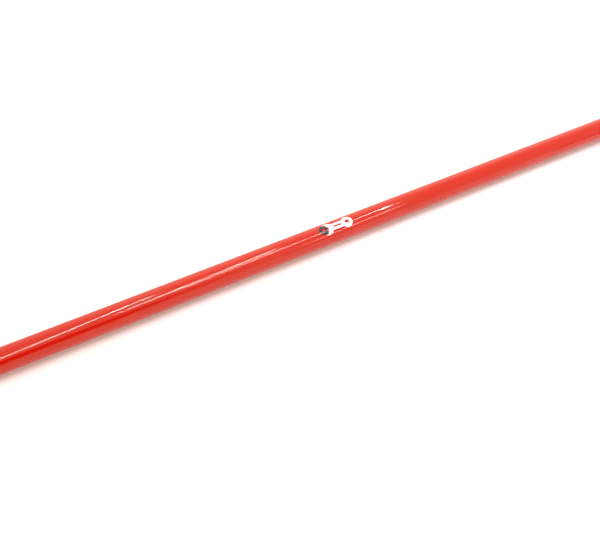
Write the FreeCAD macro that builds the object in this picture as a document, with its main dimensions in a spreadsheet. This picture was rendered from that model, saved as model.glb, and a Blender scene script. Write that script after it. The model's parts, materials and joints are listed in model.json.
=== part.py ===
import FreeCAD, Part

import math
import os

import Sketcher
from FreeCAD import Placement, Rotation, Vector

# Sway bar with its chassis mounts. +X is along the bar, +Z is up and the arms point to -Y.
# The straight centre run and the two arm tips touch the plane Z = 0, and the origin is on that
# plane in the middle of the whole kit. "left" is -X. Sizes are in millimetres and degrees.

SHEET = "Sizes"
SIZES = [
    # the bent tube
    ("tube_od", 24.0, "outside diameter of the tube"),
    ("tube_wall", 4.0, "wall of the tube"),
    ("bend_radius", 48.0, "centreline radius of every bend"),
    ("mount_x", 500.0, "from the middle of the bar to the middle of a bushing"),
    ("mount_rise", 20.0, "height of the bushing runs above the centre run"),
    ("rise_angle", 30.0, "slope of the tube between the centre run and a bushing run"),
    ("inner_run", 31.5, "straight tube inboard of a bushing's middle"),
    ("outer_run", 20.0, "straight tube outboard of a bushing's middle"),
    # the arm ends
    ("arm_length", 284.0, "along an arm, from the bushing axis to the last link hole"),
    ("tube_end", 222.0, "along an arm, from the bushing axis to the tube's end"),
    ("slot_depth", 26.0, "how far an end plate sits in the tube"),
    ("plate_thickness", 6.0, "thickness of an end plate"),
    ("plate_height", 30.0, "height of an end plate"),
    ("hole_pitch", 22.0, "between the three link holes"),
    ("hole_diameter", 10.5, "diameter of a link hole"),
    ("plate_corner", 6.0, "bevel of the plate's inner corners"),
    ("edge_round", 0.8, "rounding of the plate's cut edges"),
    ("bead_radius", 2.6, "radius of the weld beads beside the plate"),
    ("cap_height", 3.4, "how far the weld stands out of the tube's end"),
    # the bushing
    ("bushing_width", 36.0, "whole width of a bushing"),
    ("bushing_wall", 8.0, "rubber around the bar"),
    ("lip_height", 2.5, "how far a bushing's end lips stand out"),
    ("base_height", 18.0, "from the bar's axis to the face that meets the chassis"),
    ("bore_clearance", 0.06, "radial running clearance of the bushing on the bar"),
    ("groove_depth", 0.8, "depth of the grease grooves"),
    ("groove_width", 2.4, "width of the grease grooves"),
    ("groove_offset", 9.0, "from a bushing's middle to a ring groove"),
    ("slit_width", 1.0, "the cut that lets a bushing open over the bar"),
    # the bracket
    ("strap_width", 30.0, "width of the bracket's strap"),
    ("strap_thickness", 4.0, "thickness of the bracket's strap"),
    ("foot_bend", 3.0, "inside radius of the bend between a leg and its flange"),
    ("flange_reach", 53.0, "from the bar's axis to a flange's end"),
    ("flange_corner", 8.0, "corner radius of a flange"),
    ("bolt_spacing", 80.0, "between the two bolts of a bracket"),
    ("bolt_slot_width", 10.6, "width of a flange's slot"),
    ("bolt_slot_length", 14.6, "length of a flange's slot"),
    ("fit_gap", 0.05, "gap between pieces that are pressed together"),
    # the grease fitting
    ("fitting_angle", 65.0, "from the crown round to the grease fitting"),
    ("boss_diameter", 11.0, "diameter of the bung that the fitting screws into"),
    ("boss_height", 1.8, "how far the bung stands out of the strap"),
    ("fitting_thread", 6.0, "thread diameter of the fitting"),
    ("thread_length", 5.0, "length of the fitting's thread"),
    ("fitting_hex", 8.0, "across the flats of the fitting"),
    ("fitting_hex_height", 3.4, "height of the fitting's hexagon"),
    ("nipple_diameter", 6.4, "diameter of the fitting's head"),
    ("nipple_height", 10.4, "height of the fitting above its seat"),
    ("grease_way", 1.6, "bore of the grease passage"),
    # the mounting bolts
    ("bolt_diameter", 10.0, "thread diameter of a mounting bolt"),
    ("bolt_stand_out", 22.0, "bolt above the face that meets the chassis"),
    ("bolt_hex", 15.0, "across the flats of a bolt's head"),
    ("bolt_head", 8.0, "height of a bolt's head with its collar"),
    ("bolt_collar", 19.0, "diameter of the collar under the head"),
    ("bolt_collar_height", 2.0, "height of that collar"),
    ("bolt_neck", 10.3, "diameter of the tapered neck under the head, which fills the washer"),
    ("bolt_point", 1.2, "chamfer of a bolt's end"),
    ("washer_diameter", 21.0, "outside diameter of a washer"),
    ("washer_bore", 10.5, "inside diameter of a washer"),
    ("washer_thickness", 2.0, "thickness of a washer"),
    # the two-piece lock collar
    ("collar_od", 45.0, "outside diameter of a lock collar"),
    ("collar_width", 11.0, "width of a lock collar"),
    ("collar_split", 1.2, "gap between the two halves"),
    ("collar_edge", 0.8, "chamfer of a collar's rims"),
    ("collar_space", 0.5, "gap between a collar and its bushing"),
    ("screw_offset", 17.0, "from the bar's axis to a collar screw"),
    ("screw_diameter", 5.0, "thread diameter of a collar screw"),
    ("screw_head", 8.5, "head diameter of a collar screw"),
    ("screw_head_height", 5.0, "head height of a collar screw"),
    ("screw_socket", 4.0, "across the flats of a collar screw's socket"),
    ("screw_socket_depth", 2.6, "depth of a collar screw's socket"),
    ("screw_seat", 8.0, "from the split to the seat under a screw's head"),
    ("screw_depth", 9.0, "from the split to a screw's tip"),
    # the decal, cut from thin film
    ("decal_thickness", 0.15, "thickness of the film"),
    ("decal_tilt", 22.0, "from straight up round to the decal's middle, towards -Y"),
    ("nut_x", -15.4, "the nut sign's middle along the bar"),
    ("nut_flats", 9.8, "the nut sign across its flats"),
    ("nut_hole", 4.0, "diameter of the nut sign's hole"),
    ("jaw_x", -11.0, "the spanner sign's jaw along the bar"),
    ("jaw_diameter", 13.6, "diameter of the spanner sign's jaw"),
    ("jaw_gap", 0.8, "gap between the nut sign and the jaw"),
    ("ring_x", 14.0, "the spanner sign's ring end along the bar"),
    ("ring_diameter", 12.4, "diameter of the spanner sign's ring end"),
    ("ring_hole", 5.0, "hole of the spanner sign's ring end, across its flats"),
    ("shank_width", 7.4, "width of the spanner sign's shank"),
    ("panel_width", 1.9, "width of the panel cut out of the shank"),
    ("panel_margin", 7.6, "from the middle of either end to the panel's end"),
]

SIDES = (("left", -1), ("right", 1))
SKETCH_ORIGIN = -1


class Size:
    """A length or angle as its value together with the expression that gives it."""

    def __init__(self, value, text):
        self.value = value
        self.text = text

    def joined(self, sign, other, value):
        text = other.text if isinstance(other, Size) else repr(other)
        return Size(value, f"({self.text} {sign} {text})")

    def __add__(self, other):
        return self.joined("+", other, self.value + number(other))

    def __sub__(self, other):
        return self.joined("-", other, self.value - number(other))

    def __mul__(self, other):
        return self.joined("*", other, self.value * number(other))

    def __truediv__(self, other):
        return self.joined("/", other, self.value / number(other))

    def __neg__(self):
        return Size(-self.value, f"(0 - {self.text})")


ZERO = Size(0.0, "0")


def number(size):
    return size.value if isinstance(size, Size) else float(size)


def bind(thing, path, size):
    """Gives one property of an object its size, as an expression on the sheet's cells."""
    text = size.text if isinstance(size, Size) else repr(float(size))
    thing.setExpression(path, text)


def make_sheet(doc):
    """The driving dimensions, as aliased cells. Returns them as Size objects by name."""
    sheet = doc.addObject("Spreadsheet::Sheet", SHEET)
    sizes = {}
    for row, (name, value, meaning) in enumerate(SIZES, start=1):
        sheet.set(f"A{row}", meaning)
        sheet.set(f"B{row}", str(value))
        sheet.setAlias(f"B{row}", name)
        sizes[name] = Size(value, f"{SHEET}.{name}")
    doc.recompute()
    return sizes


# ---- Part primitives and booleans ------------------------------------------------------------


def cylinder(doc, name, radius, height, place):
    """A cylinder that stands on its placement's origin, along the placement's Z."""
    made = doc.addObject("Part::Cylinder", name)
    bind(made, "Radius", radius)
    bind(made, "Height", height)
    made.Placement = place
    return made


def box(doc, name, sizes, low, place=Placement()):
    """A box with its lowest corner at low, in the frame of place."""
    made = doc.addObject("Part::Box", name)
    for side, size in zip(("Length", "Width", "Height"), sizes):
        bind(made, side, size)
    made.Placement = place.multiply(at(*low))
    return made


def sphere(doc, name, radius, place):
    made = doc.addObject("Part::Sphere", name)
    bind(made, "Radius", radius)
    made.Placement = place
    return made


def hexagon(doc, name, flats, height, place):
    """A hexagonal prism with two of its flats square to the placement's Y."""
    made = doc.addObject("Part::Prism", name)
    made.Polygon = 6
    bind(made, "Circumradius", flats / math.sqrt(3))
    bind(made, "Height", height)
    made.Placement = place
    return made


def fuse(doc, name, pieces):
    made = doc.addObject("Part::MultiFuse", name)
    made.Shapes = pieces
    return made


def cut(doc, name, base, tools):
    """Base with every tool taken away."""
    made = doc.addObject("Part::Cut", name)
    made.Base = base
    made.Tool = tools[0] if len(tools) == 1 else fuse(doc, name + "_tools", tools)
    return made


def common(doc, name, pieces):
    made = doc.addObject("Part::MultiCommon", name)
    made.Shapes = pieces
    return made


def at(x=0.0, y=0.0, z=0.0):
    return Placement(Vector(number(x), number(y), number(z)), Rotation())


def lying(x=0.0, y=0.0, z=0.0):
    """Places a cylinder at that point with its axis along +X."""
    return Placement(at(x, y, z).Base, Rotation(Vector(0, 1, 0), 90))


def group(doc, label, pieces):
    """Several separate solids in one node."""
    made = doc.addObject("Part::Compound", label)
    made.Links = pieces
    return made


# ---- PartDesign features ---------------------------------------------------------------------


def new_body(doc, name, place=Placement()):
    body = doc.addObject("PartDesign::Body", name)
    body.Placement = place
    return body


def new_sketch(body, name, plane, lift=0.0):
    """A sketch on one of the body's origin planes, moved along the plane's normal by lift."""
    sketch = body.newObject("Sketcher::SketchObject", name)
    origin = next(f for f in body.Origin.OriginFeatures if f.Role == plane)
    sketch.AttachmentSupport = [(origin, "")]
    sketch.MapMode = "FlatFace"
    sketch.AttachmentOffset = at(0, 0, lift)
    return sketch


def hold(sketch, element, vertex, point):
    """Holds a sketch point at its two distances from the sketch's origin."""
    for kind, size in zip(("DistanceX", "DistanceY"), point):
        distance = Sketcher.Constraint(kind, SKETCH_ORIGIN, 1, element, vertex, number(size))
        bind(sketch, f"Constraints[{sketch.addConstraint(distance)}]", size)


def add_polygon(sketch, corners):
    first = sketch.GeometryCount
    points = [Vector(number(x), number(y), 0) for x, y in corners]
    for start, end in zip(points, points[1:] + points[:1]):
        sketch.addGeometry(Part.LineSegment(start, end))
    for n, corner in enumerate(corners):
        follows = first + (n - 1) % len(corners)
        sketch.addConstraint(Sketcher.Constraint("Coincident", follows, 2, first + n, 1))
        hold(sketch, first + n, 1, corner)


def add_circle(sketch, centre, diameter):
    middle = Vector(number(centre[0]), number(centre[1]), 0)
    circle = sketch.addGeometry(Part.Circle(middle, Vector(0, 0, 1), number(diameter) / 2))
    hold(sketch, circle, 3, centre)
    size = Sketcher.Constraint("Diameter", circle, number(diameter))
    bind(sketch, f"Constraints[{sketch.addConstraint(size)}]", diameter)


def add_slot(sketch, centre, length, width):
    """A slot along the sketch's first axis, as two lines and two arcs."""
    x, y = centre
    reach = (length - width) / 2
    radius = number(width) / 2
    low, high = y - width / 2, y + width / 2
    start_x, end_x = x - reach, x + reach
    first = sketch.GeometryCount
    for start, end, level in ((start_x, end_x, low), (end_x, start_x, high)):
        ends = [Vector(number(p), number(level), 0) for p in (start, end)]
        sketch.addGeometry(Part.LineSegment(*ends))
    for middle, begin in ((end_x, -90), (start_x, 90)):
        circle = Part.Circle(Vector(number(middle), number(y), 0), Vector(0, 0, 1), radius)
        turn = math.radians(begin)
        sketch.addGeometry(Part.ArcOfCircle(circle, turn, turn + math.pi))
    hold(sketch, first, 1, (start_x, low))
    hold(sketch, first, 2, (end_x, low))
    hold(sketch, first + 1, 1, (end_x, high))
    hold(sketch, first + 1, 2, (start_x, high))
    for line, arc, next_line in ((first, first + 2, first + 1), (first + 1, first + 3, first)):
        sketch.addConstraint(Sketcher.Constraint("Coincident", line, 2, arc, 1))
        sketch.addConstraint(Sketcher.Constraint("Coincident", arc, 2, next_line, 1))
    for arc, middle in ((first + 2, end_x), (first + 3, start_x)):
        level = Sketcher.Constraint("DistanceX", SKETCH_ORIGIN, 1, arc, 3, number(middle))
        bind(sketch, f"Constraints[{sketch.addConstraint(level)}]", middle)


def extrude(body, kind, name, sketch, length, symmetric=False, backwards=False):
    """A Pad or Pocket of a sketch; kind is the feature's type without its workbench."""
    made = body.newObject("PartDesign::" + kind, name)
    made.Profile = sketch
    bind(made, "Length", length)
    if symmetric:
        made.SideType = "Symmetric"
    made.Reversed = backwards
    body.Document.recompute()
    return made


def revolve(body, name, sketch):
    """A full turn of a sketch about its own vertical axis."""
    made = body.newObject("PartDesign::Revolution", name)
    made.Profile = sketch
    made.ReferenceAxis = (sketch, ["V_Axis"])
    made.Angle = 360
    body.Document.recompute()
    return made


def edges_where(shape, test):
    """The names of a shape's edges whose middle and direction pass a test."""
    names = []
    for n, edge in enumerate(shape.Edges, start=1):
        middle = edge.valueAt((edge.FirstParameter + edge.LastParameter) / 2)
        if test(edge, middle):
            names.append(f"Edge{n}")
    return names


def dress(body, kind, name, size, test):
    """A Fillet or Chamfer on the edges of the body's tip that pass a test."""
    base = body.Tip
    names = edges_where(base.Shape, test)
    assert names, f"{name} found no edges"
    made = body.newObject("PartDesign::" + kind, name)
    made.Base = (base, names)
    bind(made, "Radius" if kind == "Fillet" else "Size", size)
    body.Document.recompute()
    return made


def is_line_along(edge, axis):
    if not isinstance(edge.Curve, Part.Line):
        return False
    return edge.tangentAt(edge.FirstParameter).cross(axis).Length < 1e-6


def near(value, size, slack=0.01):
    return abs(value - number(size)) < slack


# ---- the bar ---------------------------------------------------------------------------------


class Layout:
    """Places worked out from the sizes: the bar's corners, the arms' frames and the mounts."""

    def __init__(self, s):
        self.radius = s["tube_od"].value / 2
        self.bushing_height = self.radius + s["mount_rise"].value
        drop = self.bushing_height - s["plate_height"].value / 2
        self.slope = math.degrees(math.asin(drop / s["arm_length"].value))
        self.fall = math.sin(math.radians(self.slope))
        self.reach = math.cos(math.radians(self.slope))
        front = s["arm_length"].value * self.reach + s["plate_height"].value / 2
        self.bar_y = (front - s["flange_reach"].value) / 2
        self.arm_x = s["mount_x"].value + s["outer_run"].value + s["bend_radius"].value

    def rise_corners(self, s):
        """Where the tube turns up from the centre run, and where it levels out again."""
        angle = math.radians(s["rise_angle"].value)
        tangent = s["bend_radius"].value * math.tan(angle / 2)
        top = s["mount_x"].value - s["inner_run"].value - tangent
        return top - s["mount_rise"].value / math.tan(angle), top

    def corners(self, s):
        """The corners of the bar's centreline, from the left tube end to the right one."""
        foot, top = self.rise_corners(s)
        end = s["tube_end"].value
        right = [
            Vector(foot, self.bar_y, self.radius),
            Vector(top, self.bar_y, self.bushing_height),
            Vector(self.arm_x, self.bar_y, self.bushing_height),
            self.arm_frame(1).multVec(Vector(end, 0, 0)),
        ]
        left = [Vector(-p.x, p.y, p.z) for p in reversed(right)]
        return left + right

    def arm_frame(self, side):
        """+X of this frame runs along the arm to its tip, and +Y is the world's +X."""
        along = Vector(0, -self.reach, -self.fall)
        up = Vector(0, -self.fall, self.reach)
        corner = Vector(side * self.arm_x, self.bar_y, self.bushing_height)
        return Placement(corner, Rotation(along, Vector(1, 0, 0), up, "XYZ"))

    def mount_frame(self, s, side):
        """The middle of a bushing on the bar's axis."""
        return Placement(
            Vector(side * s["mount_x"].value, self.bar_y, self.bushing_height), Rotation()
        )


def bent_wire(corners, bend_radius):
    """Straight runs between the corners, joined by tangent arcs of one radius."""
    edges = []
    start = corners[0]
    for before, corner, after in zip(corners, corners[1:], corners[2:]):
        into = (corner - before).normalize()
        out = (after - corner).normalize()
        half_turn = into.getAngle(out) / 2
        reach = bend_radius * math.tan(half_turn)
        inward = (out - into).normalize()
        begin = corner - into * reach
        finish = corner + out * reach
        middle = corner + inward * (bend_radius / math.cos(half_turn) - bend_radius)
        edges.append(Part.LineSegment(start, begin).toShape())
        edges.append(Part.Arc(begin, middle, finish).toShape())
        start = finish
    edges.append(Part.LineSegment(start, corners[-1]).toShape())
    return Part.Wire(edges)


def swept_round(doc, name, radius, path):
    """A round rod along a wire."""
    profile = doc.addObject("Part::Circle", name + "_section")
    bind(profile, "Radius", radius)
    first = path.Shape.Edges[0]
    direction = first.tangentAt(first.FirstParameter)
    profile.Placement = Placement(
        first.valueAt(first.FirstParameter), Rotation(Vector(0, 0, 1), direction)
    )
    rod = doc.addObject("Part::Sweep", name)
    rod.Sections = [profile]
    rod.Spine = (path, [])
    rod.Solid = True
    rod.Frenet = False
    return rod


def make_bar(doc, s, layout):
    path = doc.addObject("Part::Feature", "bar_centreline")
    path.Shape = bent_wire(layout.corners(s), s["bend_radius"].value)
    outside = swept_round(doc, "bar_outside", s["tube_od"] / 2, path)
    inside = swept_round(doc, "bar_inside", s["tube_od"] / 2 - s["tube_wall"], path)
    slots = []
    for name, side in SIDES:
        sizes = (s["slot_depth"] * 2, s["plate_thickness"], s["tube_od"] * 2)
        low = (s["tube_end"] - s["slot_depth"], -s["plate_thickness"] / 2, -s["tube_od"])
        slots.append(box(doc, name + "_tube_slot", sizes, low, layout.arm_frame(side)))
    return cut(doc, "bar_tube", outside, [inside, *slots])


def make_end_plate(doc, s, layout, name, side):
    """A flat plate with a round end and three link holes, in the arm's own frame."""
    body = new_body(doc, name + "_end_plate", layout.arm_frame(side))
    half = s["plate_height"] / 2
    inner = s["tube_end"] - s["slot_depth"]
    blank = new_sketch(body, name + "_plate_blank", "XZ_Plane")
    tip = s["arm_length"]
    add_polygon(blank, [(inner, -half), (tip, -half), (tip, half), (inner, half)])
    extrude(body, "Pad", name + "_plate_pad", blank, s["plate_thickness"], symmetric=True)
    round_end = new_sketch(body, name + "_plate_end", "XZ_Plane")
    add_circle(round_end, (tip, 0), s["plate_height"])
    extrude(body, "Pad", name + "_plate_end_pad", round_end, s["plate_thickness"], symmetric=True)
    across = Vector(0, 1, 0)

    def inner_corner(edge, middle):
        return is_line_along(edge, across) and near(middle.x, inner)

    dress(body, "Chamfer", name + "_plate_corners", s["plate_corner"], inner_corner)

    def outline(edge, middle):
        on_face = near(abs(middle.y), s["plate_thickness"] / 2)
        return on_face and middle.x > number(s["tube_end"]) - 0.5 * number(s["slot_depth"])

    dress(body, "Fillet", name + "_plate_edges", s["edge_round"], outline)
    hole = new_sketch(body, name + "_link_hole", "XZ_Plane")
    add_circle(hole, (tip, 0), s["hole_diameter"])
    drilled = extrude(
        body, "Pocket", name + "_hole", hole, s["plate_thickness"] * 2, symmetric=True
    )
    row = body.newObject("PartDesign::LinearPattern", name + "_hole_row")
    row.Originals = [drilled]
    row.Direction = (hole, ["H_Axis"])
    row.Reversed = True
    row.Occurrences = 3
    bind(row, "Length", s["hole_pitch"] * 2)
    body.Tip = row
    return body


def make_end_weld(doc, s, layout, name, side, tube, plate):
    """Four beads in the corners between the plate and the tube, and the weld that closes the tube."""
    frame = layout.arm_frame(side)
    start = s["tube_end"] - s["slot_depth"]
    across = s["plate_thickness"] / 2 + s["bead_radius"] / 3
    turned = Rotation(Vector(0, 1, 0), 90)
    metal = []
    for flank in (-1, 1):
        for face in (-1, 1):
            place = Vector(number(start), flank * number(across), face * layout.radius)
            tag = f"{name}_bead_{len(metal)}"
            run = frame.multiply(Placement(place, turned))
            length = s["slot_depth"] + s["cap_height"] / 4
            metal.append(cylinder(doc, tag, s["bead_radius"], length, run))
            begin = frame.multiply(Placement(place, Rotation()))
            metal.append(sphere(doc, tag + "_start", s["bead_radius"], begin))
            stop = begin.multiply(at(length))
            metal.append(sphere(doc, tag + "_stop", s["bead_radius"], stop))
    cap = new_body(doc, name + "_weld_cap", frame.multiply(
        Placement(Vector(number(s["tube_end"]), 0, 0), turned)))
    outline = new_sketch(cap, name + "_weld_cap_outline", "XZ_Plane")
    bore = s["tube_od"] / 2 - s["tube_wall"]
    rim = s["tube_od"] / 2
    height = s["cap_height"]
    add_polygon(outline, [
        (0, -height), (bore, -height), (bore, 0), (rim, 0), (rim - height / 3, height * 2 / 3),
        (rim - height, height), (0, height),
    ])
    revolve(cap, name + "_weld_cap_turn", outline)
    metal.append(cap)
    whole = fuse(doc, name + "_weld_metal", metal)
    return cut(doc, name + "_end_weld", whole, [tube, plate])


# ---- the chassis mounts ----------------------------------------------------------------------


def d_section(doc, name, s, radius, width, x, frame):
    """A round crown of that radius below, with straight sides up to the base face."""
    low = number(x) - number(width) / 2
    crown = cylinder(doc, name + "_crown", radius, width, frame.multiply(lying(low)))
    sides = box(
        doc, name + "_sides", (width, radius * 2, s["base_height"]), (low, -radius, 0), frame
    )
    return [crown, sides]


def fitting_axis(s):
    """The frame of the grease fitting: +Z points out of the strap, in the mount's frame."""
    return Placement(Vector(0, 0, 0), Rotation(Vector(1, 0, 0), 180 - s["fitting_angle"].value))


def make_bushing(doc, s, name, frame):
    """A split block with a lip at each end, a bore with grease grooves and a flat base."""
    outer = s["tube_od"] / 2 + s["bushing_wall"]
    bore = s["tube_od"] / 2 + s["bore_clearance"]
    lip = (s["bushing_width"] - s["strap_width"]) / 2 - s["fit_gap"]
    rubber = d_section(doc, name + "_bushing_block", s, outer, s["bushing_width"], 0, frame)
    for tag, way in (("inner", -1), ("outer", 1)):
        middle = way * number(s["bushing_width"] - lip) / 2
        rubber += d_section(
            doc, f"{name}_bushing_{tag}_lip", s, outer + s["lip_height"], lip, middle, frame
        )
    half = number(s["bushing_width"]) / 2
    ring = bore + s["groove_depth"]
    tallest = outer + s["lip_height"]
    gaps = [
        box(doc, name + "_above_base", (s["bushing_width"], tallest * 2, tallest),
            (-half, -tallest, s["base_height"]), frame),
        cylinder(doc, name + "_bushing_bore", bore, s["bushing_width"],
                 frame.multiply(lying(-half))),
        box(doc, name + "_bushing_slit", (s["bushing_width"], s["slit_width"], s["base_height"]),
            (-half, -s["slit_width"] / 2, 0), frame),
    ]
    for tag, way in (("inner", -1), ("outer", 1)):
        low = way * number(s["groove_offset"]) - number(s["groove_width"]) / 2
        gaps.append(cylinder(doc, f"{name}_bushing_{tag}_groove", ring, s["groove_width"],
                             frame.multiply(lying(low))))
    long_groove = (s["groove_offset"] * 2, s["groove_width"], ring)
    grease = frame.multiply(fitting_axis(s))
    gaps.append(box(doc, name + "_bushing_long_groove", long_groove,
                    (-s["groove_offset"], -s["groove_width"] / 2, 0), grease))
    gaps.append(cylinder(doc, name + "_bushing_grease_way", s["grease_way"], outer * 2, grease))
    block = fuse(doc, name + "_bushing_rubber", rubber)
    return cut(doc, name + "_bushing", block, gaps)


def make_bracket(doc, s, name, frame):
    """A strap bent round the bushing, with two slotted flanges and a bung for the fitting."""
    body = new_body(doc, name + "_bracket", frame)
    inner = s["tube_od"] / 2 + s["bushing_wall"] + s["fit_gap"]
    outer = inner + s["strap_thickness"]
    width = s["strap_width"] - s["fit_gap"] * 2
    top = s["base_height"]
    under = top - s["strap_thickness"]
    reach = s["flange_reach"]
    crown = new_sketch(body, name + "_crown", "YZ_Plane")
    add_circle(crown, (0, 0), outer * 2)
    extrude(body, "Pad", name + "_crown_pad", crown, width, symmetric=True)
    foot = new_sketch(body, name + "_foot", "YZ_Plane")
    add_polygon(foot, [
        (-outer, 0), (outer, 0), (outer, under), (reach, under), (reach, top), (-reach, top),
        (-reach, under), (-outer, under),
    ])
    extrude(body, "Pad", name + "_foot_pad", foot, width, symmetric=True)
    along_bar = Vector(1, 0, 0)

    def foot_corner(edge, middle):
        at_leg = near(abs(middle.y), outer) and near(middle.z, under)
        return is_line_along(edge, along_bar) and at_leg

    dress(body, "Fillet", name + "_foot_bends", s["foot_bend"], foot_corner)

    def flange_corner(edge, middle):
        return is_line_along(edge, Vector(0, 0, 1)) and near(abs(middle.y), reach)

    dress(body, "Fillet", name + "_flange_corners", s["flange_corner"], flange_corner)
    bung = body.newObject("PartDesign::AdditiveCylinder", name + "_bung")
    bind(bung, "Radius", s["boss_diameter"] / 2)
    bind(bung, "Height", outer + s["boss_height"])
    bung.Placement = fitting_axis(s)
    body.Document.recompute()
    hollow = new_sketch(body, name + "_hollow", "YZ_Plane")
    add_circle(hollow, (0, 0), inner * 2)
    extrude(body, "Pocket", name + "_hollow_round", hollow, width * 2, symmetric=True)
    mouth = new_sketch(body, name + "_mouth", "YZ_Plane")
    add_polygon(mouth, [(-inner, 0), (inner, 0), (inner, top + top), (-inner, top + top)])
    extrude(body, "Pocket", name + "_mouth_cut", mouth, width * 2, symmetric=True)

    def mouth_edge(edge, middle):
        at_mouth = near(abs(middle.y), inner) and near(middle.z, top)
        return is_line_along(edge, along_bar) and at_mouth

    bend = s["foot_bend"] + s["strap_thickness"]
    dress(body, "Fillet", name + "_mouth_bends", bend, mouth_edge)
    slots = new_sketch(body, name + "_slots", "XY_Plane")
    slots.AttachmentOffset = Placement(Vector(0, 0, 0), Rotation(Vector(0, 0, 1), 90))
    for way in (-1, 1):
        middle = (s["bolt_spacing"] / 2 * way, ZERO)
        add_slot(slots, middle, s["bolt_slot_length"], s["bolt_slot_width"])
    extrude(body, "Pocket", name + "_slot_cut", slots, top + top, backwards=True)
    tapped = body.newObject("PartDesign::SubtractiveCylinder", name + "_tapped_hole")
    bind(tapped, "Radius", s["fitting_thread"] / 2)
    bind(tapped, "Height", outer * 2)
    tapped.Placement = fitting_axis(s)
    body.Document.recompute()
    return body


def make_fitting(doc, s, name, frame):
    """A straight grease nipple: thread, hexagon, waist and head, with its grease way."""
    seat = s["tube_od"] / 2 + s["bushing_wall"] + s["fit_gap"]
    seat = seat + s["strap_thickness"] + s["boss_height"]
    place = frame.multiply(fitting_axis(s)).multiply(at(0, 0, seat))
    turned = new_body(doc, name + "_fitting_turned", place)
    outline = new_sketch(turned, name + "_fitting_outline", "XZ_Plane")
    way = s["grease_way"] / 2
    thread = s["fitting_thread"] / 2 - s["fit_gap"]
    hexagon_top = s["fitting_hex_height"]
    head = s["nipple_diameter"] / 2
    height = s["nipple_height"]
    waist = head * 0.7
    shoulder = height * 0.62
    add_polygon(outline, [
        (way, -s["thread_length"]), (thread, -s["thread_length"]), (thread, hexagon_top),
        (head, hexagon_top), (waist, shoulder - head * 0.5), (head, shoulder),
        (head, shoulder + head * 0.3), (way * 2, height), (way, height),
    ])
    revolve(turned, name + "_fitting_turn", outline)
    flats = hexagon(doc, name + "_fitting_flats", s["fitting_hex"], s["fitting_hex_height"], place)
    passage = cylinder(doc, name + "_fitting_way", way, height, place)
    nut = cut(doc, name + "_fitting_nut", flats, [passage])
    return fuse(doc, name + "_grease_fitting", [turned, nut])


def make_bolts(doc, s, name, frame):
    """Two flanged hexagon bolts, head down, through the flanges."""
    under_washer = s["base_height"] - s["strap_thickness"] - s["washer_thickness"]
    bolts = []
    for tag, way in (("front", -1), ("rear", 1)):
        place = frame.multiply(at(0, s["bolt_spacing"] / 2 * way, under_washer))
        body = new_body(doc, f"{name}_{tag}_bolt_turned", place)
        outline = new_sketch(body, f"{name}_{tag}_bolt_outline", "XZ_Plane")
        thread = s["bolt_diameter"] / 2
        neck = s["bolt_neck"] / 2
        rim = s["bolt_collar"] / 2
        chassis_face = s["strap_thickness"] + s["washer_thickness"]
        length = chassis_face + s["bolt_stand_out"]
        foot = s["bolt_collar_height"]
        add_polygon(outline, [
            (0, -foot), (rim, -foot), (rim, -foot / 2), (rim - foot, 0), (neck, 0),
            (thread, chassis_face), (thread, length - s["bolt_point"]),
            (thread - s["bolt_point"], length), (0, length),
        ])
        revolve(body, f"{name}_{tag}_bolt_turn", outline)
        head = hexagon(
            doc, f"{name}_{tag}_bolt_head", s["bolt_hex"], s["bolt_head"],
            place.multiply(at(0, 0, -s["bolt_head"])),
        )
        bolts.append(fuse(doc, f"{name}_{tag}_bolt", [body, head]))
    return group(doc, name + "_mount_bolts", bolts)


def make_washers(doc, s, name, frame):
    under_flange = s["base_height"] - s["strap_thickness"]
    washers = []
    for tag, way in (("front", -1), ("rear", 1)):
        place = frame.multiply(
            at(0, s["bolt_spacing"] / 2 * way, under_flange - s["washer_thickness"])
        )
        disc = cylinder(doc, f"{name}_{tag}_disc", s["washer_diameter"] / 2,
                        s["washer_thickness"], place)
        bore = cylinder(doc, f"{name}_{tag}_bore", s["washer_bore"] / 2,
                        s["washer_thickness"], place)
        washers.append(cut(doc, f"{name}_{tag}_washer", disc, [bore]))
    return group(doc, name + "_mount_washers", washers)


# ---- the lock collars ------------------------------------------------------------------------


def collar_frame(s, layout, side):
    """The middle of a lock collar, inboard of its bushing."""
    inboard = number(s["bushing_width"] + s["collar_width"]) / 2 + number(s["collar_space"])
    return layout.mount_frame(s, side).multiply(at(-side * inboard))


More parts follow.
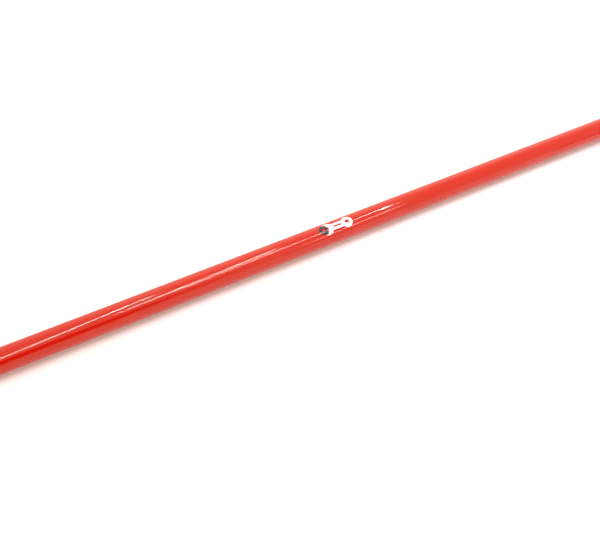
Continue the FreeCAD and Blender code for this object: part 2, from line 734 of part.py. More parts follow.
def make_collar_half(doc, s, name, frame, upper):
    """Half of a clamp ring, drilled for two screws; the upper half takes their heads."""
    body = new_body(doc, name, frame)
    ring = new_sketch(body, name + "_ring", "YZ_Plane")
    add_circle(ring, (0, 0), s["collar_od"])
    extrude(body, "Pad", name + "_ring_pad", ring, s["collar_width"], symmetric=True)

    def rim(edge, middle):
        return edge.Closed

    dress(body, "Chamfer", name + "_rims", s["collar_edge"], rim)
    bore = new_sketch(body, name + "_bore", "YZ_Plane")
    add_circle(bore, (0, 0), s["tube_od"] + s["fit_gap"] * 2)
    extrude(body, "Pocket", name + "_bore_cut", bore, s["collar_width"] * 2, symmetric=True)
    way = 1 if upper else -1
    split = s["collar_split"] / 2 * way
    reach = s["collar_od"]
    other_half = new_sketch(body, name + "_split", "YZ_Plane")
    far = -reach * way
    add_polygon(other_half, [(-reach, far), (reach, far), (reach, split), (-reach, split)])
    extrude(body, "Pocket", name + "_split_cut", other_half, s["collar_width"] * 2, symmetric=True)
    holes = new_sketch(body, name + "_screw_holes", "XY_Plane")
    for side in (-1, 1):
        middle = (0, s["screw_offset"] * side)
        add_circle(holes, middle, s["screw_diameter"] + s["fit_gap"] * 2)
    depth = s["screw_depth"] if not upper else s["collar_od"]
    extrude(body, "Pocket", name + "_screw_hole_cut", holes, depth, backwards=upper)
    if upper:
        seats = new_sketch(body, name + "_seats", "XY_Plane", s["screw_seat"])
        for side in (-1, 1):
            middle = (0, s["screw_offset"] * side)
            add_circle(seats, middle, s["screw_head"] + s["fit_gap"] * 8)
        extrude(body, "Pocket", name + "_seat_cut", seats, s["collar_od"], backwards=True)
    return body


def make_collar_screws(doc, s, name, frame):
    """Two socket head cap screws, heads up."""
    screws = []
    for tag, way in (("front", -1), ("rear", 1)):
        place = frame.multiply(at(0, s["screw_offset"] * way, s["screw_seat"]))
        shank_length = s["screw_seat"] + s["screw_depth"]
        shank = cylinder(doc, f"{name}_{tag}_shank", s["screw_diameter"] / 2, shank_length,
                         place.multiply(at(0, 0, -shank_length)))
        head = cylinder(doc, f"{name}_{tag}_head", s["screw_head"] / 2, s["screw_head_height"],
                        place)
        floor = s["screw_head_height"] - s["screw_socket_depth"]
        socket = hexagon(doc, f"{name}_{tag}_socket", s["screw_socket"], s["screw_socket_depth"],
                         place.multiply(at(0, 0, floor)))
        blank = fuse(doc, f"{name}_{tag}_blank", [shank, head])
        screws.append(cut(doc, f"{name}_{tag}_screw", blank, [socket]))
    return group(doc, name + "_collar_screws", screws)


# ---- the decal -------------------------------------------------------------------------------


def make_decal(doc, s, layout):
    """A nut in the jaw of a spanner, cut from dark and light film that wraps the tube."""
    tube_axis = Placement(
        Vector(0, layout.bar_y, layout.radius), Rotation(Vector(1, 0, 0), s["decal_tilt"].value)
    )
    radius = s["tube_od"] / 2
    deep = s["tube_od"]
    span = s["ring_x"] + s["ring_diameter"]
    corner = s["nut_flats"] / math.sqrt(3)

    def film(name):
        low = -number(span)
        start = tube_axis.multiply(lying(low))
        full = cylinder(doc, name + "_wrap", radius + s["decal_thickness"], span * 2, start)
        core = cylinder(doc, name + "_core", radius, span * 2, start)
        return cut(doc, name + "_film", full, [core])

    def disc(name, x, diameter):
        return cylinder(doc, name, diameter / 2, deep, tube_axis.multiply(at(x)))

    nut = hexagon(doc, "decal_nut_outline", s["nut_flats"], deep, tube_axis.multiply(at(s["nut_x"])))
    nut_hole = disc("decal_nut_hole", s["nut_x"], s["nut_hole"])
    nut_blank = cut(doc, "decal_nut_blank", nut, [nut_hole])
    dark = common(doc, "decal_nut", [film("decal_dark"), nut_blank])

    shank_length = s["ring_x"] - s["jaw_x"]
    shank = box(doc, "decal_shank", (shank_length, s["shank_width"], deep),
                (s["jaw_x"], -s["shank_width"] / 2, 0), tube_axis)
    jaw = disc("decal_jaw", s["jaw_x"], s["jaw_diameter"])
    ring = disc("decal_ring", s["ring_x"], s["ring_diameter"])
    spanner_blank = fuse(doc, "decal_spanner_blank", [shank, jaw, ring])
    opening = s["nut_flats"] + s["jaw_gap"] * 2
    grip = hexagon(doc, "decal_grip", opening, deep, tube_axis.multiply(at(s["nut_x"])))
    mouth = box(doc, "decal_mouth", (corner * 4, opening, deep),
                (s["nut_x"] - corner * 4, -opening / 2, 0), tube_axis)
    ring_hole = hexagon(doc, "decal_ring_hole", s["ring_hole"], deep,
                        tube_axis.multiply(at(s["ring_x"])))
    panel_length = shank_length - s["panel_margin"] * 2
    panel = box(doc, "decal_panel", (panel_length, s["panel_width"], deep),
                (s["jaw_x"] + s["panel_margin"], -s["panel_width"] / 2, 0), tube_axis)
    spanner = cut(doc, "decal_spanner_shape", spanner_blank, [grip, mouth, ring_hole, panel])
    light = common(doc, "decal_spanner", [film("decal_light"), spanner])
    return [dark, light]


# ---- the whole kit ---------------------------------------------------------------------------


def make_kit(doc):
    """Builds the document and returns the objects that are the kit's own nodes."""
    s = make_sheet(doc)
    layout = Layout(s)
    tube = make_bar(doc, s, layout)
    nodes = [tube, *make_decal(doc, s, layout)]
    for name, side in SIDES:
        plate = make_end_plate(doc, s, layout, name, side)
        nodes += [plate, make_end_weld(doc, s, layout, name, side, tube, plate)]
        ring = collar_frame(s, layout, side)
        nodes.append(make_collar_half(doc, s, name + "_collar_upper_half", ring, True))
        nodes.append(make_collar_half(doc, s, name + "_collar_lower_half", ring, False))
        nodes.append(make_collar_screws(doc, s, name, ring))
        mount = layout.mount_frame(s, side)
        for make in (make_bushing, make_bracket, make_fitting, make_bolts, make_washers):
            nodes.append(make(doc, s, name, mount))
    doc.recompute()
    return nodes


def check(doc, nodes):
    """Stops if any object failed to recompute or a node's shape isn't sound."""
    for thing in doc.Objects:
        assert not {"Invalid", "Error"} & set(thing.State), f"{thing.Label}: {thing.State}"
    for node in nodes:
        shape = node.Shape
        assert not shape.isNull() and shape.isValid() and shape.Solids, node.Label


def main():
    doc = FreeCAD.newDocument("sway_bar")
    nodes = make_kit(doc)
    check(doc, nodes)
    os.makedirs("parts", exist_ok=True)
    for node in nodes:
        node.Shape.exportStep(f"parts/{node.Label}.step")
        solids = node.Shape.Solids
        volume = sum(solid.Volume for solid in solids) / 1000
        print(f"{node.Label}: {len(solids)} solid(s), {volume:.2f} cm3")


main()
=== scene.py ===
import json
import math

import bmesh
import bpy
from mathutils import Matrix, Vector


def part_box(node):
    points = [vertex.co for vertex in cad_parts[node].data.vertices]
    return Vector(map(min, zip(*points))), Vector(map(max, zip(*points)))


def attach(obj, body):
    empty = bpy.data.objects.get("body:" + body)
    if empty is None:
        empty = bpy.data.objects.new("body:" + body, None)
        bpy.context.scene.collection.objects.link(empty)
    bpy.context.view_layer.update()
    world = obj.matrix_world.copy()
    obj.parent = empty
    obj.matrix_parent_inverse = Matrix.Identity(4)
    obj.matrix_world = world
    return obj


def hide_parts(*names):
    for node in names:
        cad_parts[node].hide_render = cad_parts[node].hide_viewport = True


# Looks of the sway bar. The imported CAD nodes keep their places. Materials, softened edges and
# detailed pieces (threads, ripples, mouldings) are added here. Lengths are in metres, apart from
# names that end in _MM and the shapes drawn here, which are in millimetres until add_piece
# places them.

MM = 0.001
SIDES = (("left", -1), ("right", 1))

BUSHING_BORE_MM = 12.06
BUSHING_OUTER_MM = 20.0
BUSHING_LIP_MM = 2.5
BUSHING_BASE_MM = 18.0
BUSHING_WIDTH_MM = 36.0
SLIT_HALF_MM = 0.5
STRAP_HALF_MM = 15.05

FITTING_ANGLE = math.radians(65.0)
FITTING_SEAT_MM = 25.85

BOLT_OFFSET_MM = 40.0
UNDER_WASHER_MM = 12.0
CHASSIS_FACE_MM = 6.0
BOLT_LENGTH_MM = 28.0
THREAD_PITCH_MM = 1.5

ARM_SLOPE = math.asin(17.0 / 284.0)
TUBE_END_MM = 222.0
PLATE_START_MM = 196.0
TUBE_RADIUS_MM = 12.0
BEAD_MM = 2.3
BEAD_STEP_MM = 0.35

SCREW_OFFSET_MM = 17.0
SCREW_SEAT_MM = 8.0
RING_DENSITY = 14000.0  # radians of the collar's turning rings per metre

FLOOR_REACH = 9.0
FLOOR_LEVEL = -0.0035
# painted shade: near the bar the floor is darker and warmer, which browns the shade round the bar; further out it
# turns white
FLOOR_NEAR_SHADE_TINT = (0.88, 0.865, 0.8)
FLOOR_FAR = (0.96, 0.96, 0.97)
FLOOR_GLOW = (1.0, 0.9, 0.82, 1.0)

CAMERA_LENS_MM = 57.0
CAMERA_SENSOR_MM = 36.0
CAMERA_PLACE = (-0.4675, -0.5381, 0.6030)
CAMERA_DIP = math.radians(38.24)
CAMERA_TURN = math.radians(32.793)

CEILING = 1.5
LIGHT_COLOUR = (0.98, 1.0, 1.22)
# each ceiling light: name, start (x, y), end (x, y), width, power
CEILING_LIGHTS = [
    ("tube_light_1", (-0.221, -0.889), (0.222, 0.330), 0.02, 5.5),
    ("tube_light_2", (0.185, -0.840), (0.582, 0.118), 0.02, 5.5),
    ("tube_light_3", (0.400, -0.900), (0.980, 0.132), 0.02, 5.5),
    ("tube_light_4", (1.581, -2.947), (1.399, -1.409), 0.08, 6.0),
    ("lamp", (0.960, -0.160), (0.990, -0.160), 0.03, 1.5),
]

WALL_COLOUR = (1.0, 0.965, 0.86, 1.0)
WALL_LIGHT = 1.08
DOORWAY_LIGHT = 0.03
DOORWAY_TOWARDS = (0.03, -0.93, 0.37)
WINDOW_EXTRA_LIGHT = 0.6
WINDOW_TOWARDS = (0.45, 0.65, 0.62)
BACKDROP_LIGHT = 1.2

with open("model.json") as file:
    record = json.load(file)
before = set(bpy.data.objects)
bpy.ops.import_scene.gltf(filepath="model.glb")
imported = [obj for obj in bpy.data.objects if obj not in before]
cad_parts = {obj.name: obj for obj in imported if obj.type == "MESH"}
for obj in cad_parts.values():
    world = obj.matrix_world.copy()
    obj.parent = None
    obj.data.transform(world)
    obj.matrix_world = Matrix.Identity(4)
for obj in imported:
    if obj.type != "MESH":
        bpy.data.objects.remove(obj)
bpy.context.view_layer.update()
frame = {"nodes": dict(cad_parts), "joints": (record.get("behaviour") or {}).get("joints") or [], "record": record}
nodes = frame["nodes"]
pivots = {j["child"]: Vector(j["pos_m"]) for j in frame["joints"]}
bar_axis_y = pivots["left_mount"].y
bar_axis_z = pivots["left_mount"].z


# ---- materials -------------------------------------------------------------------------------


def new_material(name, colour, roughness, metallic=0.0, **sockets):
    """A Principled material; sockets are further values by socket name, with _ for a space."""
    material = bpy.data.materials.new(name)
    material.use_nodes = True
    shader = material.node_tree.nodes["Principled BSDF"]
    shader.inputs["Base Color"].default_value = (*colour, 1.0)
    shader.inputs["Roughness"].default_value = roughness
    shader.inputs["Metallic"].default_value = metallic
    for socket, value in sockets.items():
        shader.inputs[socket.replace("_", " ")].default_value = value
    return material


def add_node(material, kind, inputs=None, **settings):
    node = material.node_tree.nodes.new(kind)
    for name, value in settings.items():
        setattr(node, name, value)
    for name, value in (inputs or {}).items():
        if isinstance(value, bpy.types.NodeSocket):
            material.node_tree.links.new(value, node.inputs[name])
        else:
            node.inputs[name].default_value = value
    return node


def object_point(material):
    return add_node(material, "ShaderNodeTexCoord").outputs["Object"]


def noise(material, scale, detail=3.0, roughness=0.5, stretch=(1, 1, 1)):
    """Noise in object space; scale is features per metre."""
    mapping = add_node(
        material, "ShaderNodeMapping", {"Vector": object_point(material), "Scale": stretch}
    )
    inputs = {
        "Vector": mapping.outputs["Vector"], "Scale": scale, "Detail": detail,
        "Roughness": roughness,
    }
    return add_node(material, "ShaderNodeTexNoise", inputs).outputs["Fac"]


def spread(material, source, low, high, floor=0.0, ceiling=1.0):
    """Maps source from low..high to floor..ceiling."""
    inputs = {
        "Value": source, "From Min": low, "From Max": high, "To Min": floor, "To Max": ceiling,
    }
    return add_node(material, "ShaderNodeMapRange", inputs).outputs["Result"]


def vary_colour(material, mask, first, second):
    mix = add_node(material, "ShaderNodeMix", data_type="RGBA")
    mix.inputs["A"].default_value = (*first, 1.0)
    mix.inputs["B"].default_value = (*second, 1.0)
    links = material.node_tree.links
    links.new(mask, mix.inputs["Factor"])
    # a colour mix has four outputs of different types, and its colour is the third
    links.new(mix.outputs[2], material.node_tree.nodes["Principled BSDF"].inputs["Base Color"])


def vary_roughness(material, mask, low, high):
    shader = material.node_tree.nodes["Principled BSDF"]
    value = spread(material, mask, 0.3, 0.7, low, high)
    material.node_tree.links.new(value, shader.inputs["Roughness"])


def add_bump(material, heights):
    """heights is a list of (height source, depth in metres), stacked in order."""
    normal = None
    for source, depth in heights:
        inputs = {"Height": source, "Distance": depth, "Strength": 1.0}
        if normal:
            inputs["Normal"] = normal
        normal = add_node(material, "ShaderNodeBump", inputs).outputs["Normal"]
    shader = material.node_tree.nodes["Principled BSDF"]
    material.node_tree.links.new(normal, shader.inputs["Normal"])


def powder_coat():
    """Gloss red powder coat: a faint orange peel and fine mottling under a glassy surface."""
    material = new_material(
        "red_powder_coat", (0.51, 0.006, 0.001), 0.05, IOR=1.54,
        Specular_Tint=(1.0, 0.95, 0.7, 1.0),
    )
    vary_colour(material, noise(material, 90, 4), (0.525, 0.008, 0.002), (0.495, 0.004, 0.001))
    vary_roughness(material, noise(material, 400, 2), 0.04, 0.08)
    add_bump(material, [(noise(material, 260, 1), 0.000006), (noise(material, 1500, 2), 0.000001)])
    return material


def bracket_coat():
    """Satin black electro-coat over pressed steel, thinner and greyer in scuffs."""
    material = new_material("black_bracket", (0.02, 0.02, 0.022), 0.4)
    scuffs = spread(material, noise(material, 700, 5, 0.65), 0.58, 0.72)
    vary_colour(material, scuffs, (0.016, 0.016, 0.018), (0.06, 0.06, 0.063))
    vary_roughness(material, noise(material, 220, 4), 0.32, 0.5)
    add_bump(material, [(noise(material, 2600, 3), 0.00003)])
    return material


def polyurethane():
    """Moulded black polyurethane with a faint flow pattern and a dry sheen."""
    material = new_material(
        "polyurethane", (0.022, 0.022, 0.024), 0.5, Sheen_Weight=0.08, Sheen_Roughness=0.5
    )
    flow = noise(material, 160, 4, 0.6, (0.3, 1, 1))
    vary_colour(material, flow, (0.016, 0.016, 0.018), (0.034, 0.034, 0.036))
    vary_roughness(material, noise(material, 500, 3), 0.42, 0.6)
    add_bump(material, [(noise(material, 900, 4), 0.00006), (noise(material, 5000, 2), 0.00001)])
    return material


def zinc_plate():
    """Bright zinc: patches of blue-white and straw, with a grainy brushed finish."""
    material = new_material("zinc_plate", (0.42, 0.43, 0.45), 0.3, 1.0)
    patches = spread(material, noise(material, 240, 3), 0.4, 0.65)
    vary_colour(material, patches, (0.40, 0.42, 0.46), (0.50, 0.47, 0.38))
    vary_roughness(material, noise(material, 1200, 4), 0.2, 0.4)
    add_bump(material, [(noise(material, 3000, 3, 0.6), 0.00003)])
    return material


def anodised_collar():
    """Clear anodised aluminium with the fine rings that turning leaves around the bar's axis."""
    material = new_material("anodised_collar", (0.5, 0.51, 0.53), 0.3, 1.0)
    axis_point = (0.0, bar_axis_y, bar_axis_z)
    away = add_node(
        material, "ShaderNodeVectorMath", {0: object_point(material), 1: axis_point},
        operation="SUBTRACT",
    )
    across = add_node(
        material, "ShaderNodeVectorMath", {0: away.outputs["Vector"], 1: (0.0, 1.0, 1.0)},
        operation="MULTIPLY",
    )
    radius = add_node(
        material, "ShaderNodeVectorMath", {0: across.outputs["Vector"]}, operation="LENGTH"
    )
    along = add_node(material, "ShaderNodeSeparateXYZ", {0: away.outputs["Vector"]})
    reach = add_node(
        material, "ShaderNodeMath", {0: radius.outputs["Value"], 1: along.outputs["X"]},
        operation="ADD",
    )
    turns = add_node(
        material, "ShaderNodeMath", {0: reach.outputs["Value"], 1: RING_DENSITY},
        operation="MULTIPLY",
    )
    rings = add_node(material, "ShaderNodeMath", {0: turns.outputs["Value"]}, operation="SINE")
    cloud = noise(material, 300, 3)
    vary_colour(material, cloud, (0.46, 0.47, 0.50), (0.56, 0.56, 0.57))
    vary_roughness(material, cloud, 0.22, 0.34)
    add_bump(material, [(rings.outputs["Value"], 0.000006), (noise(material, 2500, 2), 0.00001)])
    return material


def black_oxide():
    """Blackened steel, a little brown where the finish is thin."""
    material = new_material("black_screw", (0.05, 0.05, 0.055), 0.35, 0.9)
    vary_colour(material, noise(material, 900, 4), (0.035, 0.035, 0.04), (0.075, 0.07, 0.068))
    vary_roughness(material, noise(material, 1500, 3), 0.28, 0.45)
    add_bump(material, [(noise(material, 4000, 3), 0.00002)])
    return material


def film(name, colour, other):
    """Printed vinyl film: nearly flat, glossy, with a faint grain."""
    material = new_material(name, colour, 0.16)
    vary_colour(material, noise(material, 1800, 3), colour, other)
    vary_roughness(material, noise(material, 700, 3), 0.12, 0.22)
    add_bump(material, [(noise(material, 700, 2), 0.00002)])
    return material


def floor_sheet():
    material = new_material(
        "studio_floor", FLOOR_NEAR_SHADE_TINT, 0.5, Emission_Strength=0.1, Emission_Color=FLOOR_GLOW
    )
    away = add_node(
        material, "ShaderNodeVectorMath", {0: object_point(material)}, operation="LENGTH"
    )
    # painted shade: within 0.8 m of the floor's middle, under the bar, the colour is darker and warmer to brown
    # the shade there, and by 1.8 m it is white
    distance = spread(material, away.outputs["Value"], 0.8, 1.8)
    vary_colour(material, distance, FLOOR_NEAR_SHADE_TINT, FLOOR_FAR)
    return material


MATERIALS = {
    "red_powder_coat": powder_coat(),
    "black_bracket": bracket_coat(),
    "polyurethane": polyurethane(),
    "zinc_plate": zinc_plate(),
    "anodised_collar": anodised_collar(),
    "black_screw": black_oxide(),
    "decal_dark": film("decal_dark", (0.012, 0.012, 0.014), (0.02, 0.02, 0.022)),
    "decal_light": film("decal_light", (0.84, 0.84, 0.83), (0.78, 0.78, 0.77)),
}


# ---- meshes ----------------------------------------------------------------------------------


def add_piece(name, parts, body, replaced, material, place, sharp=35.0):
    """One object from several (vertices, faces) in millimetres, riding on a body.

    place takes their frame to the row's. Edges sharper than sharp degrees stay crisp.
    """
    mesh = bpy.data.meshes.new(name)
    vertices, faces = [], []
    for own, own_faces in parts:
        start = len(vertices)
        vertices += [place @ (Vector(v) * MM) for v in own]
        faces += [[start + i for i in face] for face in own_faces]
    mesh.from_pydata(vertices, [], faces)
    edit = bmesh.new()
    edit.from_mesh(mesh)
    bmesh.ops.recalc_face_normals(edit, faces=edit.faces)
    edit.to_mesh(mesh)
    edit.free()
    mesh.shade_smooth()
    mesh.set_sharp_from_angle(angle=math.radians(sharp))
    mesh.materials.append(MATERIALS[material])
    piece = bpy.data.objects.new(name, mesh)
    bpy.context.scene.collection.objects.link(piece)
    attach(piece, body)
    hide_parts(replaced)
    return piece


def bridge(low, high, count):
    """Faces between two rings of count vertices, whose first vertices are low and high."""
    faces = []
    for k in range(count):
        follows = (k + 1) % count
        faces.append((low + k, low + follows, high + follows, high + k))
    return faces


def end_caps(rings, count):
    """Faces that close the first and the last of several rings of count vertices."""
    return [tuple(reversed(range(count))), tuple(range((rings - 1) * count, rings * count))]


def turned(rings, segments, closed=False):
    """A turned shape. Each ring is (height, radius), where radius may be a function of angle.

    An open row of rings is capped at both ends, and a closed one joins its last ring to its first.
    """
    vertices = []
    for height, radius in rings:
        for k in range(segments):
            angle = 2 * math.pi * k / segments
            r = radius(angle) if callable(radius) else radius
            vertices.append((r * math.cos(angle), r * math.sin(angle), height))
    faces = []
    count = len(rings)
    for row in range(count if closed else count - 1):
        faces += bridge(row * segments, (row + 1) % count * segments, segments)
    if not closed:
        faces += end_caps(count, segments)
    return vertices, faces


def hexagon(flats, largest=math.inf):
    """Radius of a hexagon at an angle, with its corners cut back to a circle."""

    def radius(angle):
        off_flat = (angle + math.pi / 6) % (math.pi / 3) - math.pi / 6
        return min(flats / 2 / math.cos(off_flat), largest)

    return radius


def threaded(height, outside, pitch, depth):
    """Radius of a helical thread at one height."""

    def radius(angle):
        phase = (height / pitch - angle / (2 * math.pi)) % 1.0
        return outside - depth * min(1.0, 1.25 * abs(2 * phase - 1))

    return radius


def moved(part, offset):
    """The same (vertices, faces), shifted."""
    vertices, faces = part
    return [tuple(Vector(v) + Vector(offset)) for v in vertices], faces


def swept(path, radius_at, segments):
    """A closed rod along a path of points; radius_at gives its radius at each point's number."""
    vertices, faces = [], []
    side = None
    for n, point in enumerate(path):
        before, after = path[max(n - 1, 0)], path[min(n + 1, len(path) - 1)]
        ahead = (Vector(after) - Vector(before)).normalized()
        side = ahead.orthogonal() if side is None else side
        side = (side - ahead * side.dot(ahead)).normalized()
        other = ahead.cross(side)
        r = radius_at(n)
        for k in range(segments):
            angle = 2 * math.pi * k / segments
            offset = side * (r * math.cos(angle)) + other * (r * math.sin(angle))
            vertices.append(tuple(Vector(point) + offset))
    for row in range(len(path) - 1):
        faces += bridge(row * segments, (row + 1) * segments, segments)
    return vertices, faces + end_caps(len(path), segments)


# ---- carried-over CAD nodes ------------------------------------------------------------------


def soften(node, width):
    """Rounds a CAD node's sharp edges; width is in metres."""
    piece = nodes[node]
    weld = piece.modifiers.new("join", "WELD")
    weld.merge_threshold = 1e-6
    flat = piece.modifiers.new("flat_faces", "DECIMATE")
    flat.decimate_type = "DISSOLVE"
    flat.angle_limit = math.radians(0.5)
    bevel = piece.modifiers.new("edges", "BEVEL")
    bevel.width = width
    bevel.segments = 3
    bevel.limit_method = "ANGLE"
    bevel.angle_limit = math.radians(35)
    bevel.harden_normals = True


def paint_nodes():
    """Gives every CAD node the material of its slot in the record."""
    slots = {part["node"]: part["material_slot"] for part in frame["record"]["subparts"]}
    for name, slot in slots.items():
        materials = nodes[name].data.materials
        materials.clear()
        materials.append(MATERIALS[slot])


# ---- the mounts ------------------------------------------------------------------------------


def bushing_outline(outer_mm, bore_mm, steps=112):
    """Points (y, z) of the split D: once round the outside, and once round the bore.

    The half that meets the chassis is a superellipse, which squares and softens its corners.
    """
    power = 26
    around, inside = [], []
    outer_start = math.atan(SLIT_HALF_MM / BUSHING_BASE_MM)
    inner_start = math.asin(SLIT_HALF_MM / bore_mm)
    for k in range(steps + 1):
        share = k / steps
        turn = outer_start + share * (2 * math.pi - 2 * outer_start)
        sine, cosine = math.sin(turn), math.cos(turn)
        reach = outer_mm
        if cosine > 0:
            flat = (abs(sine) / outer_mm) ** power + (cosine / BUSHING_BASE_MM) ** power
            reach = flat ** (-1 / power)
        around.append((reach * sine, reach * cosine))
        turn = inner_start + share * (2 * math.pi - 2 * inner_start)
        inside.append((bore_mm * math.sin(turn), bore_mm * math.cos(turn)))
    return around, inside


def bushing_stations():
    """(x, growth of the outside, growth of the bore) from one end face to the other."""
    half = BUSHING_WIDTH_MM / 2
    lip = BUSHING_LIP_MM
    ends = [
        (half, lip - 0.9, 0.7), (half - 0.08, lip - 0.5, 0.45), (half - 0.3, lip - 0.18, 0.15),
        (half - 0.9, lip, 0.0), (STRAP_HALF_MM + 0.7, lip, 0.0),
        (STRAP_HALF_MM + 0.2, lip - 0.15, 0.0), (STRAP_HALF_MM, lip - 0.6, 0.0),
        (STRAP_HALF_MM, 0.0, 0.0),
    ]
    return [(-x, grow, bore) for x, grow, bore in ends] + list(reversed(ends))


def bushing_mesh():
    """The moulded bushing: a split D with rounded lips at both ends."""
    loops = []
    for x, grow, bore_grow in bushing_stations():
        around, inside = bushing_outline(BUSHING_OUTER_MM + grow, BUSHING_BORE_MM + bore_grow)
        loops.append([(x, y, z) for y, z in around + inside[::-1]])
    vertices = [point for loop in loops for point in loop]
    size = len(loops[0])
    last = (len(loops) - 1) * size
    faces = []
    for start in range(0, last, size):
        faces += bridge(start, start + size, size)
    for start in (0, last):
        for k in range(size // 2 - 1):
            back = size - 1 - k
            faces.append((start + k, start + k + 1, start + back - 1, start + back))
    return vertices, faces


def bolt_mesh():
    """A flanged hexagon bolt, head down, with a tapered neck and a rolled thread."""
    flats, head, collar = 15.0, 8.0, 19.0
    rings = [
        (-head, hexagon(flats, flats * 0.40)), (-head, hexagon(flats, flats * 0.44)),
        (-head + 0.25, hexagon(flats, flats * 0.49)), (-head + 0.9, hexagon(flats, flats * 0.56)),
        (-head + 1.4, hexagon(flats)), (-2.6, hexagon(flats)), (-2.2, hexagon(flats + 0.5)),
        (-1.9, collar / 2 - 0.9), (-1.4, collar / 2 - 0.1), (-1.0, collar / 2),
        (-0.4, collar / 2), (-0.05, collar / 2 - 0.3), (0.0, collar / 2 - 0.9), (0.0, 5.5),
        (0.5, 5.15), (CHASSIS_FACE_MM - 0.4, 4.95),
    ]
    steps = int((BOLT_LENGTH_MM - 1.0 - CHASSIS_FACE_MM) / (THREAD_PITCH_MM / 8))
    for n in range(steps + 1):
        height = CHASSIS_FACE_MM + n * THREAD_PITCH_MM / 8
        fade = min(1.0, n / 8, (steps - n) / 5)
        crest = 4.95 - 0.45 * (1 - fade) * (n > 8)
        rings.append((height, threaded(height, crest, THREAD_PITCH_MM, 0.85 * fade)))
    rings += [(BOLT_LENGTH_MM - 0.5, 4.15), (BOLT_LENGTH_MM - 0.1, 3.75), (BOLT_LENGTH_MM, 3.5)]
    return turned(rings, 96)


def washer_mesh():
    """A plain washer with pressed, rounded rims, lying on height 0."""
    rings = [
        (0.0, 5.4), (0.0, 10.1), (0.15, 10.4), (0.4, 10.5), (1.6, 10.5), (1.85, 10.4),
        (2.0, 10.1), (2.0, 5.4), (1.8, 5.27), (0.2, 5.27),
    ]
    return turned(rings, 64, closed=True)


def fitting_mesh():
    """A straight grease fitting with its check ball at the tip."""
    body = [
        (-4.0, 2.9), (0.0, 2.9), (0.0, hexagon(7.6, 4.2)), (0.3, hexagon(8.0, 4.45)),
        (3.0, hexagon(8.0, 4.45)), (3.4, hexagon(7.7, 4.1)), (3.5, 3.1), (3.8, 2.6),
        (4.6, 2.25), (5.4, 2.25), (6.0, 2.6), (6.4, 3.0), (6.8, 3.2), (7.3, 3.2), (7.8, 3.05),
        (8.6, 2.6), (9.4, 2.05), (10.1, 1.6), (10.35, 1.3), (10.4, 1.05), (10.2, 0.95),
    ]
    rises = [math.radians(degrees) for degrees in range(0, 90, 10)]
    ball = [(9.5 + 0.8 * math.sin(rise), 0.85 * math.cos(rise)) for rise in rises]
    return [turned(body, 72), turned([(9.0, 0.85), *ball], 24)]


def ripple_disc():
    """Rings (height, radius) of the domed weld that closes the tube's end, from the rim inwards."""
    rings = [(-1.0, 9.0)]
    for n in range(41):
        share = n / 40
        dome = 2.5 * math.sqrt(1 - (1 - share) ** 2)
        wave = 0.16 * math.sin(share * 16.0)
        rings.append((0.6 + dome + wave, 9.4 * (1 - share) + 0.01))
    return rings


def bead_path(side):
    """From behind the plate along its corner, round the tube's end and back, in the arm's frame.

    across is the distance from the middle of the plate, edge the height above the tube's middle,
    and ring the radius round the end of the tube.
    """
    across = 3.9
    edge = TUBE_RADIUS_MM - 0.9
    ring = TUBE_RADIUS_MM - BEAD_MM - 0.1
    hook = PLATE_START_MM + across - 0.5
    approach = []
    for n in range(17):
        turn = math.pi / 2 * n / 16
        approach.append((hook - across * math.cos(turn), across * math.sin(turn)))
    steps = int((TUBE_END_MM - hook) / BEAD_STEP_MM)
    approach += [(hook + BEAD_STEP_MM * n, across) for n in range(1, steps)]
    path = [(s, side * y, edge) for s, y in approach]
    first = math.asin(across / ring)
    for n in range(61):
        angle = first + (math.pi - 2 * first) * n / 60
        lift = 0.4 + 1.2 * math.sin(math.pi * n / 60)
        y, z = side * ring * math.sin(angle), ring * math.cos(angle)
        path.append((TUBE_END_MM + lift, y, z))
    path += [(s, side * y, -edge) for s, y in reversed(approach)]
    return path


def bead_radius(count):
    """Overlapping scales along the bead, tapering where it starts and stops."""

    def radius(n):
        scale = (n % 6) / 6
        taper = min(1.0, (0.5 + n / 8), (0.5 + (count - 1 - n) / 8))
        return BEAD_MM * taper * (0.82 + 0.18 * math.sqrt(max(0.0, 1 - (1.5 * scale - 0.5) ** 2)))

    return radius


def weld_meshes():
    """Both beads and the rippled cap, in the arm's frame."""
    parts = []
    for side in (-1, 1):
        path = bead_path(side)
        parts.append(swept(path, bead_radius(len(path)), 18))
    vertices, faces = turned(ripple_disc(), 64)
    lying = [(TUBE_END_MM + z, x, y) for x, y, z in vertices]
    return parts + [(lying, faces)]


def screw_mesh():
    """A socket head cap screw with a knurled head, its seat at height 0."""

    def knurl(outside):
        return lambda angle: outside - 0.12 * (0.5 + 0.5 * math.cos(36 * angle))

    length = SCREW_SEAT_MM + 9.0
    rings = [(-length, 2.0), (-length + 0.5, 2.5), (0.0, 2.5), (0.0, 3.9), (0.3, knurl(4.2)),
             (4.3, knurl(4.25)), (4.7, 4.1), (5.0, 3.75), (5.0, 2.6), (4.8, hexagon(4.0)),
             (2.5, hexagon(4.0)), (2.3, 1.2)]
    return turned(rings, 144)


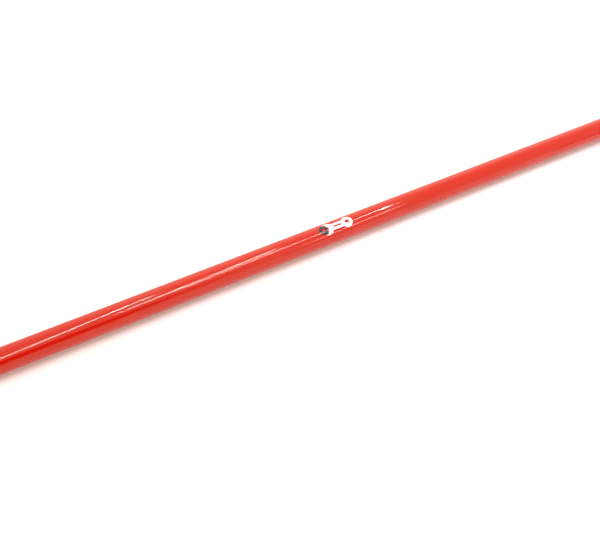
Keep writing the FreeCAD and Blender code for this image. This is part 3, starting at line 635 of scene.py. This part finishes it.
def dress_mount(name):
    """Detailed pieces for one mount, placed from its hinge."""
    body = name + "_mount"
    axis = Matrix.Translation(pivots[body])
    add_piece(name + "_bushing_moulded", [bushing_mesh()], body, name + "_bushing",
              "polyurethane", axis, 40)
    bolts, washers = [], []
    for way in (-1, 1):
        bolts.append(moved(bolt_mesh(), (0, way * BOLT_OFFSET_MM, UNDER_WASHER_MM)))
        washers.append(moved(washer_mesh(), (0, way * BOLT_OFFSET_MM, UNDER_WASHER_MM)))
    add_piece(name + "_bolts_threaded", bolts, body, name + "_mount_bolts", "zinc_plate", axis)
    add_piece(name + "_washers_rounded", washers, body, name + "_mount_washers", "zinc_plate",
              axis)
    outward = Matrix.Rotation(math.pi - FITTING_ANGLE, 4, "X")
    seat = axis @ outward @ Matrix.Translation((0, 0, FITTING_SEAT_MM * MM))
    add_piece(name + "_grease_nipple", fitting_mesh(), body, name + "_grease_fitting",
              "zinc_plate", seat)
    soften(name + "_bracket", 0.0006)


# ---- the bar ---------------------------------------------------------------------------------


def arm_frame(side):
    """+X runs along the arm to its tip and +Y is the row's +X, from the corner of the arm."""
    along = Vector((0, -math.cos(ARM_SLOPE), -math.sin(ARM_SLOPE)))
    up = Vector((0, -math.sin(ARM_SLOPE), math.cos(ARM_SLOPE)))
    low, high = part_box("right_end_plate")
    corner = Vector((side * (low.x + high.x) / 2, bar_axis_y, bar_axis_z))
    turn = Matrix((along, Vector((1, 0, 0)), up)).transposed().to_4x4()
    return Matrix.Translation(corner) @ turn


def dress_bar_end(name, side):
    """Detailed pieces for one end of the bar: the weld and the collar with its screws."""
    place = arm_frame(side)
    add_piece(name + "_weld_rippled", weld_meshes(), "bar", name + "_end_weld",
              "red_powder_coat", place, 60)
    low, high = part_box(name + "_collar_screws")
    middle = Vector(((low.x + high.x) / 2, bar_axis_y, bar_axis_z))
    screws = [moved(screw_mesh(), (0, way * SCREW_OFFSET_MM, SCREW_SEAT_MM)) for way in (-1, 1)]
    add_piece(name + "_collar_screws_knurled", screws, "bar", name + "_collar_screws",
              "black_screw", Matrix.Translation(middle))
    for half in ("upper", "lower"):
        soften(f"{name}_collar_{half}_half", 0.0003)


# ---- studio ----------------------------------------------------------------------------------


def make_floor():
    mesh = bpy.data.meshes.new("studio_floor")
    corners = [(-1, -1), (1, -1), (1, 1), (-1, 1)]
    vertices = [(x * FLOOR_REACH, y * FLOOR_REACH, FLOOR_LEVEL) for x, y in corners]
    mesh.from_pydata(vertices, [], [(0, 1, 2, 3)])
    mesh.materials.append(floor_sheet())
    floor = bpy.data.objects.new("studio_floor", mesh)
    bpy.context.scene.collection.objects.link(floor)


def make_strip(name, start, end, width, power):
    """A slim ceiling tube between two points (x, y), shining down."""
    start, end = Vector((*start, CEILING)), Vector((*end, CEILING))
    light = bpy.data.lights.new(name, "AREA")
    light.shape = "RECTANGLE"
    light.size = (end - start).length
    light.size_y = width
    light.energy = power
    light.color = LIGHT_COLOUR
    tube = bpy.data.objects.new(name, light)
    along = (end - start).normalized()
    up = Vector((0, 0, 1))
    across = up.cross(along).normalized()
    facing = along.cross(across)
    turn = Matrix((along, across, facing)).transposed().to_4x4()
    tube.matrix_world = Matrix.Translation((start + end) / 2) @ turn
    bpy.context.scene.collection.objects.link(tube)


def patch(world, towards, low, high, outside, inside):
    """Brightness of a round patch of the room, in the direction towards its middle.

    low and high are the cosines of the angles where it starts to change and where it has changed.
    """
    direction = add_node(world, "ShaderNodeTexCoord").outputs["Generated"]
    facing = add_node(
        world, "ShaderNodeVectorMath", {0: direction, 1: Vector(towards).normalized()},
        operation="DOT_PRODUCT",
    )
    return spread(world, facing.outputs["Value"], low, high, outside, inside)


def make_world():
    """A white room with a dim doorway in front of the bar and a bright window behind it.

    The camera sees a plain white backdrop.
    """
    world = bpy.data.worlds.new("studio")
    world.use_nodes = True
    bpy.context.scene.world = world
    background = world.node_tree.nodes["Background"]
    room = patch(world, DOORWAY_TOWARDS, 0.927, 0.974, WALL_LIGHT, DOORWAY_LIGHT)
    window = patch(world, WINDOW_TOWARDS, 0.866, 0.978, 0.0, WINDOW_EXTRA_LIGHT)
    light = add_node(world, "ShaderNodeMath", {0: room, 1: window}, operation="ADD")
    seen = add_node(world, "ShaderNodeLightPath").outputs["Is Camera Ray"]
    backdrop = add_node(
        world, "ShaderNodeMath", {0: seen, 1: BACKDROP_LIGHT}, operation="MULTIPLY"
    )
    strength = add_node(
        world, "ShaderNodeMath", {0: light.outputs["Value"], 1: backdrop.outputs["Value"]},
        operation="MAXIMUM",
    )
    world.node_tree.links.new(strength.outputs["Value"], background.inputs["Strength"])
    background.inputs["Color"].default_value = WALL_COLOUR


def make_camera():
    """Dipped below the horizontal, and turned from +Y towards +X."""
    camera = bpy.data.objects.new("camera", bpy.data.cameras.new("camera"))
    camera.data.lens = CAMERA_LENS_MM
    camera.data.sensor_width = CAMERA_SENSOR_MM
    camera.location = CAMERA_PLACE
    camera.rotation_euler = (math.pi / 2 - CAMERA_DIP, 0, -CAMERA_TURN)
    bpy.context.scene.collection.objects.link(camera)
    bpy.context.scene.camera = camera


def make_studio():
    """Floor, room, camera and ceiling lights, with the plain colour view."""
    make_floor()
    make_world()
    make_camera()
    for name, start, end, width, power in CEILING_LIGHTS:
        make_strip(name, start, end, width, power)
    bpy.context.scene.view_settings.view_transform = "Standard"
    bpy.context.scene.view_settings.look = "None"


paint_nodes()
for side_name, side_sign in SIDES:
    dress_mount(side_name)
    dress_bar_end(side_name, side_sign)
make_studio()
